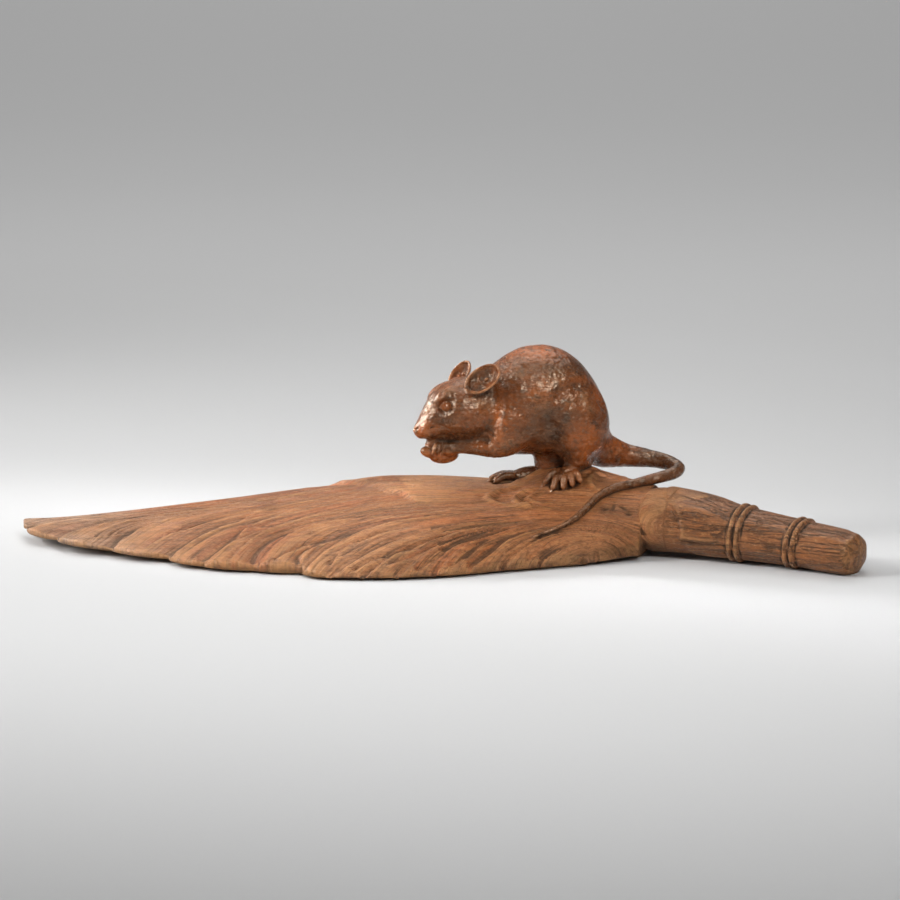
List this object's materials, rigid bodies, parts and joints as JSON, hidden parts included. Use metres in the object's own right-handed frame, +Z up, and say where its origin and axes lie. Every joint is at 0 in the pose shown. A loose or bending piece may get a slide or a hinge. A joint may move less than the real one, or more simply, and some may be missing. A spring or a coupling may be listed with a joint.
{
  "type": "rat on feather brush okimono",
  "caption": "Carved wooden ornament: a rat nibbles a nut while standing on a bird's-wing feather brush with a bound handle; it lies on its flat underside.",
  "frame": {"origin": "middle of the footprint, on the surface that the brush lies on", "axes": "+X runs from the feather tips to the handle, -Y is the side the rat turns to, +Z is up"},
  "size_m": [0.3604, 0.1028, 0.0868],
  "materials": {
    "carved_wood": "hand-rubbed reddish brown wood with a soft old polish"
  },
  "bodies": {
    "root": {"rat_on_feather_brush": "carved_wood"}
  },
  "joints": []
}
